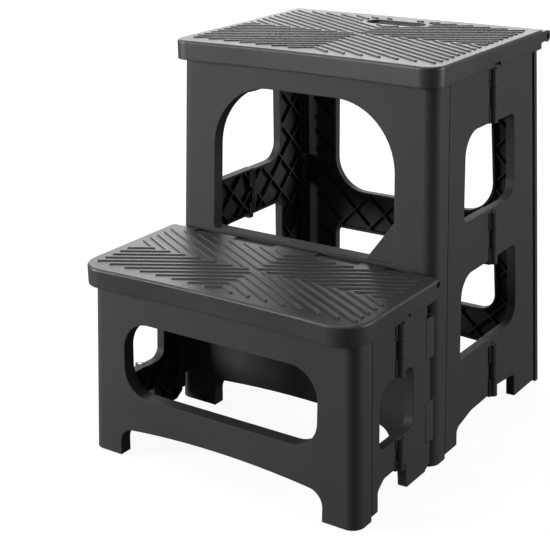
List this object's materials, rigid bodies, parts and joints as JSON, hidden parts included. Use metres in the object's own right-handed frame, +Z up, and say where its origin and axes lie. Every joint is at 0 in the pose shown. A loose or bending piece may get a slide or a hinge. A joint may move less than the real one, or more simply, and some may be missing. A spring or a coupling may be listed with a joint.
{
  "type": "folding step stool",
  "caption": "Folding step stool in dark grey plastic: two ribbed treads on leaning panels, with side walls that break inward on pinned knuckle hinges so that the stool folds flat",
  "frame": {"origin": "on the floor, below the middle of the bounding box", "axes": "+X to the right of someone facing the stool's front, +Y to the back, +Z up"},
  "size_m": [0.3538, 0.4347, 0.4312],
  "materials": {
    "panel_plastic": "fine moulded grain, satin",
    "leaf_plastic": "fine moulded grain, satin",
    "tread_plastic": "satin with raised grip ridges",
    "latch_plastic": "satin",
    "hinge_steel": "drawn bar, bright",
    "foot_rubber": "dull"
  },
  "bodies": {
    "base": {"tall_front_panel": "panel_plastic", "tall_front_feet": "foot_rubber", "tall_front_hinge_pins": "hinge_steel", "lower_rear_hinge_pins": "hinge_steel", "lower_tread_rod": "hinge_steel"},
    "tall_right_front": {"tall_right_front_leaf": "leaf_plastic", "tall_right_mid_pins": "hinge_steel"},
    "tall_right_rear": {"tall_right_rear_leaf": "leaf_plastic"},
    "tall_left_front": {"tall_left_front_leaf": "leaf_plastic", "tall_left_mid_pins": "hinge_steel"},
    "tall_left_rear": {"tall_left_rear_leaf": "leaf_plastic"},
    "tall_back": {"tall_back_panel": "panel_plastic", "tall_back_feet": "foot_rubber", "tall_back_hinge_pins": "hinge_steel", "upper_tread_rod": "hinge_steel"},
    "upper_tread": {"upper_tread": "tread_plastic"},
    "lower_right_rear": {"lower_right_rear_leaf": "leaf_plastic"},
    "lower_right_front": {"lower_right_front_leaf": "leaf_plastic", "lower_right_mid_pins": "hinge_steel"},
    "lower_left_rear": {"lower_left_rear_leaf": "leaf_plastic"},
    "lower_left_front": {"lower_left_front_leaf": "leaf_plastic", "lower_left_mid_pins": "hinge_steel"},
    "lower_front": {"lower_front_panel": "panel_plastic", "lower_front_feet": "foot_rubber", "lower_front_hinge_pins": "hinge_steel"},
    "lower_tread": {"lower_tread": "tread_plastic", "fold_latch_pin": "hinge_steel"},
    "latch": {"fold_latch": "latch_plastic"}
  },
  "joints": [
    {"name": "tall_fold", "type": "hinge", "parent": "base", "child": "tall_right_front", "pos_m": [0.15469, -0.03241, 0.225], "axis": [-0.0325, 0.0337, 0.9989], "range_deg": [0, 90]},
    {"name": "tall_right_mid", "type": "hinge", "parent": "tall_right_front", "child": "tall_right_rear", "pos_m": [0.165, 0.08034, 0.225], "axis": [0.0364, 0.0094, -0.9993], "range_deg": [0, 180]},
    {"name": "tall_back_hinge", "type": "hinge", "parent": "tall_right_rear", "child": "tall_back", "pos_m": [0.15469, 0.19309, 0.225], "axis": [-0.0324, -0.0524, 0.9981], "range_deg": [0, 90.1]},
    {"name": "tall_left_fold", "type": "hinge", "parent": "base", "child": "tall_left_front", "pos_m": [-0.15469, -0.03241, 0.225], "axis": [-0.0325, -0.0337, -0.9989], "range_deg": [0, 90]},
    {"name": "tall_left_mid", "type": "hinge", "parent": "tall_left_front", "child": "tall_left_rear", "pos_m": [-0.165, 0.08034, 0.225], "axis": [0.0364, -0.0094, 0.9993], "range_deg": [0, 180]},
    {"name": "upper_tread_hinge", "type": "hinge", "parent": "tall_back", "child": "upper_tread", "pos_m": [0, 0.2065, 0.421], "axis": [-1, 0, 0], "range_deg": [0, 266]},
    {"name": "lower_fold", "type": "hinge", "parent": "base", "child": "lower_right_rear", "pos_m": [0.15843, -0.06329, 0.11], "axis": [0.0325, -0.0337, -0.9989], "range_deg": [0, 90]},
    {"name": "lower_right_mid", "type": "hinge", "parent": "lower_right_rear", "child": "lower_right_front", "pos_m": [0.16851, -0.12606, 0.11], "axis": [-0.0335, 0.0403, 0.9986], "range_deg": [0, 180]},
    {"name": "lower_front_hinge", "type": "hinge", "parent": "lower_right_front", "child": "lower_front", "pos_m": [0.15843, -0.18883, 0.11], "axis": [0.0324, -0.0469, -0.9984], "range_deg": [0, 90]},
    {"name": "lower_left_fold", "type": "hinge", "parent": "base", "child": "lower_left_rear", "pos_m": [-0.15843, -0.06329, 0.11], "axis": [0.0325, 0.0337, 0.9989], "range_deg": [0, 90]},
    {"name": "lower_left_mid", "type": "hinge", "parent": "lower_left_rear", "child": "lower_left_front", "pos_m": [-0.16851, -0.12606, 0.11], "axis": [-0.0335, -0.0403, -0.9986], "range_deg": [0, 180]},
    {"name": "lower_tread_hinge", "type": "hinge", "parent": "base", "child": "lower_tread", "pos_m": [0, -0.057, 0.212], "axis": [-1, 0, 0], "range_deg": [0, 91]},
    {"name": "latch_swing", "type": "hinge", "parent": "lower_tread", "child": "latch", "pos_m": [0, -0.084, 0.202], "axis": [1, 0, 0], "range_deg": [0, 92]}
  ],
  "couplings": [
    {"joint": "tall_right_mid", "follows": "tall_fold", "ratio": 1.9985},
    {"joint": "tall_back_hinge", "follows": "tall_fold", "ratio": 1.0004},
    {"joint": "tall_left_fold", "follows": "tall_fold", "ratio": 1},
    {"joint": "tall_left_mid", "follows": "tall_fold", "ratio": 1.9985},
    {"joint": "upper_tread_hinge", "follows": "tall_fold", "ratio": 2.955},
    {"joint": "lower_right_mid", "follows": "lower_fold", "ratio": 1.9971},
    {"joint": "lower_front_hinge", "follows": "lower_fold", "ratio": 0.9974},
    {"joint": "lower_left_fold", "follows": "lower_fold", "ratio": 1},
    {"joint": "lower_left_mid", "follows": "lower_fold", "ratio": 1.9971},
    {"joint": "lower_tread_hinge", "follows": "lower_fold", "ratio": 1.011},
    {"joint": "latch_swing", "follows": "lower_fold", "ratio": 1.011}
  ]
}
